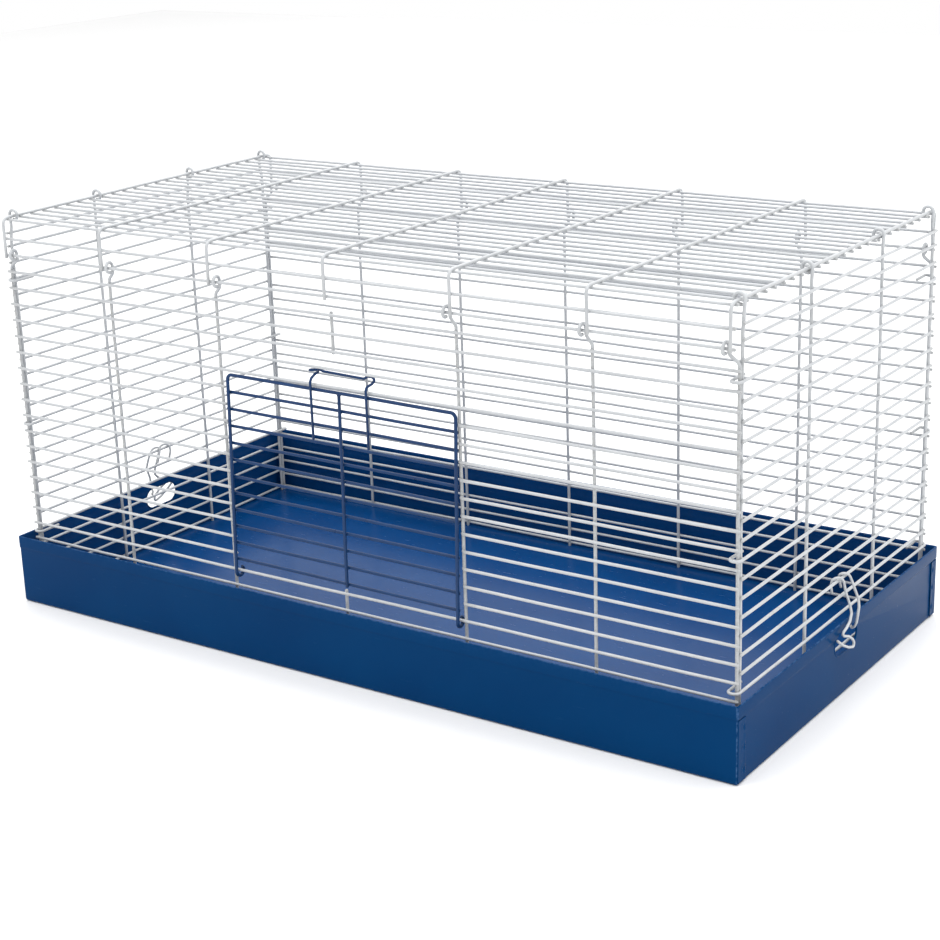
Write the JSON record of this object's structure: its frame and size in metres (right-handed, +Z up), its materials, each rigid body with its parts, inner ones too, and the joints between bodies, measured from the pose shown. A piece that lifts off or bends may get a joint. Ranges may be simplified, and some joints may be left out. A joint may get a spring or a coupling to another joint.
{
  "type": "wire rabbit cage",
  "caption": "Small-animal cage: white welded-wire top of hooked panels with a drop-down blue wire door, standing in a blue sheet-metal pan and held by spring-wire end latches.",
  "frame": {"origin": "centre of the pan's underside, on the surface the cage stands on", "axes": "+X along the cage to its right end, +Y from the door side to the back, +Z up"},
  "size_m": [1.0198, 0.517, 0.4955],
  "materials": {
    "blue_sheet": "gloss",
    "white_wire": "satin",
    "blue_wire": "gloss",
    "latch_wire": "satin"
  },
  "bodies": {
    "pan": {"base_pan": "blue_sheet", "left_pan_end": "blue_sheet", "right_pan_end": "blue_sheet"},
    "wire_top": {"top_grid": "white_wire", "top_cross_wire_1": "white_wire", "top_cross_wire_2": "white_wire", "top_cross_wire_3": "white_wire", "top_cross_wire_4": "white_wire", "top_cross_wire_5": "white_wire", "front_grid": "white_wire", "front_upright_1": "white_wire", "front_upright_2": "white_wire", "front_upright_3": "white_wire", "front_upright_4": "white_wire", "front_stub_over_door": "white_wire", "front_stub_under_door": "white_wire", "back_grid": "white_wire", "back_upright_1": "white_wire", "back_upright_2": "white_wire", "back_upright_3": "white_wire", "back_upright_4": "white_wire", "back_upright_5": "white_wire", "left_end_grid": "white_wire", "left_end_upright_1": "white_wire", "left_end_upright_2": "white_wire", "right_end_grid": "white_wire", "right_end_upright_1": "white_wire", "right_end_upright_2": "white_wire"},
    "door": {"door_frame": "blue_wire", "door_bar_01": "blue_wire", "door_bar_02": "blue_wire", "door_bar_03": "blue_wire", "door_bar_04": "blue_wire", "door_bar_05": "blue_wire", "door_bar_06": "blue_wire", "door_bar_07": "blue_wire", "door_bar_08": "blue_wire", "door_bar_09": "blue_wire", "door_bar_10": "blue_wire", "door_bar_11": "blue_wire", "door_centre_bar": "blue_wire"},
    "door_latch": {"door_latch": "blue_wire"},
    "left_end_latch": {"left_latch_lever": "latch_wire", "left_latch_hook": "latch_wire"},
    "right_end_latch": {"right_latch_lever": "latch_wire", "right_latch_hook": "latch_wire"}
  },
  "joints": [
    {"name": "top_lift", "type": "slide", "parent": "pan", "child": "wire_top", "axis": [0, 0, 1], "range_m": [0, 0.12]},
    {"name": "door_hinge", "type": "hinge", "parent": "wire_top", "child": "door", "pos_m": [0, -0.2374, 0.1005], "axis": [1, 0, 0], "range_deg": [0, 105]},
    {"name": "door_latch_press", "type": "slide", "parent": "door", "child": "door_latch", "axis": [0, 0, -1], "range_m": [0, 0.004], "stiffness_N_per_m": 500, "springref_m": -0.002},
    {"name": "left_latch_swing", "type": "hinge", "parent": "wire_top", "child": "left_end_latch", "pos_m": [-0.4895, 0, 0.13], "axis": [0, 1, 0], "range_deg": [0, 90]},
    {"name": "right_latch_swing", "type": "hinge", "parent": "wire_top", "child": "right_end_latch", "pos_m": [0.4895, 0, 0.13], "axis": [0, -1, 0], "range_deg": [0, 90]}
  ],
  "couplings": [
    {"joint": "left_latch_swing", "follows": "top_lift", "rad_per_m": 12.2},
    {"joint": "right_latch_swing", "follows": "top_lift", "rad_per_m": 12.2}
  ]
}
